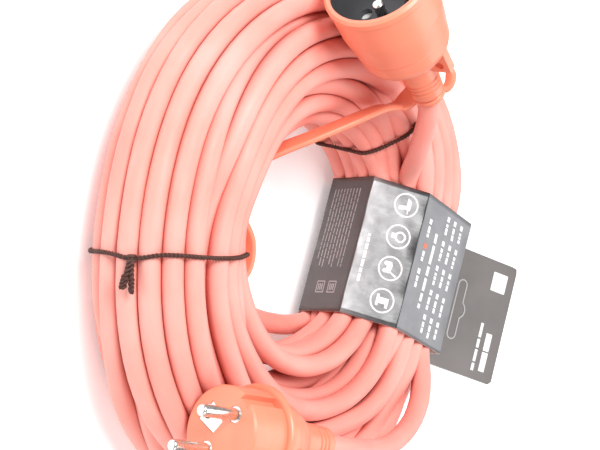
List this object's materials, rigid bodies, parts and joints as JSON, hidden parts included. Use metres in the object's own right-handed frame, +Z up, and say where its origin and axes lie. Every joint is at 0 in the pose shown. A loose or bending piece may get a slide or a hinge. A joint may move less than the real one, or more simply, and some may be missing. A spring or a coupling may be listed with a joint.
{
  "type": "extension cord",
  "caption": "Coiled rubber extension cord lying flat, with an earthed plug, an earthed socket, a strap, twist ties and a printed card sleeve.",
  "frame": {"origin": "centre of the coil's eye, on the ground that the coil lies on", "axes": "+Z up along the coil's axis; +Y from the twist tie on the near side towards the card's hang tab; +X to the plug's side"},
  "size_m": [0.2394, 0.2864, 0.1037],
  "materials": {
    "cable_rubber": "matt",
    "connector_rubber": "satin",
    "insert_plastic": "matt",
    "white_plastic": "matt",
    "nickelled_brass": "polished",
    "brass": "satin",
    "spring_steel": "satin",
    "core_brown": "satin",
    "core_blue": "satin",
    "core_green_yellow": "satin",
    "tie_brown": "matt",
    "card": "satin"
  },
  "bodies": {
    "cord": {"cable_coil": "cable_rubber", "cable_tail_socket": "cable_rubber", "cable_tail_plug": "cable_rubber", "plug_body": "connector_rubber", "plug_bridge": "white_plastic", "plug_pin_line": "nickelled_brass", "plug_pin_neutral": "nickelled_brass", "plug_earth_receptacle": "nickelled_brass", "plug_earth_clips": "nickelled_brass", "plug_crimps": "brass", "plug_core_brown": "core_brown", "plug_core_blue": "core_blue", "plug_core_green_yellow": "core_green_yellow", "socket_body": "connector_rubber", "socket_insert": "insert_plastic", "socket_carrier": "white_plastic", "socket_sleeve_line": "brass", "socket_sleeve_neutral": "brass", "socket_earth_pin": "nickelled_brass", "shutter_spring": "spring_steel", "socket_crimps": "brass", "socket_core_brown": "core_brown", "socket_core_blue": "core_blue", "socket_core_green_yellow": "core_green_yellow", "strap": "connector_rubber", "tie_near": "tie_brown", "tie_far": "tie_brown", "card_sleeve": "card", "slot_knockout": "card"},
    "shutter": {"socket_shutter": "white_plastic"}
  },
  "joints": [
    {"name": "shutter_slide", "type": "slide", "parent": "cord", "child": "shutter", "axis": [-0.7901, 0.4465, -0.4201], "range_m": [0, 0.0064], "stiffness_N_per_m": 60, "springref_m": -0.003, "deforming": ["shutter_spring"]}
  ]
}
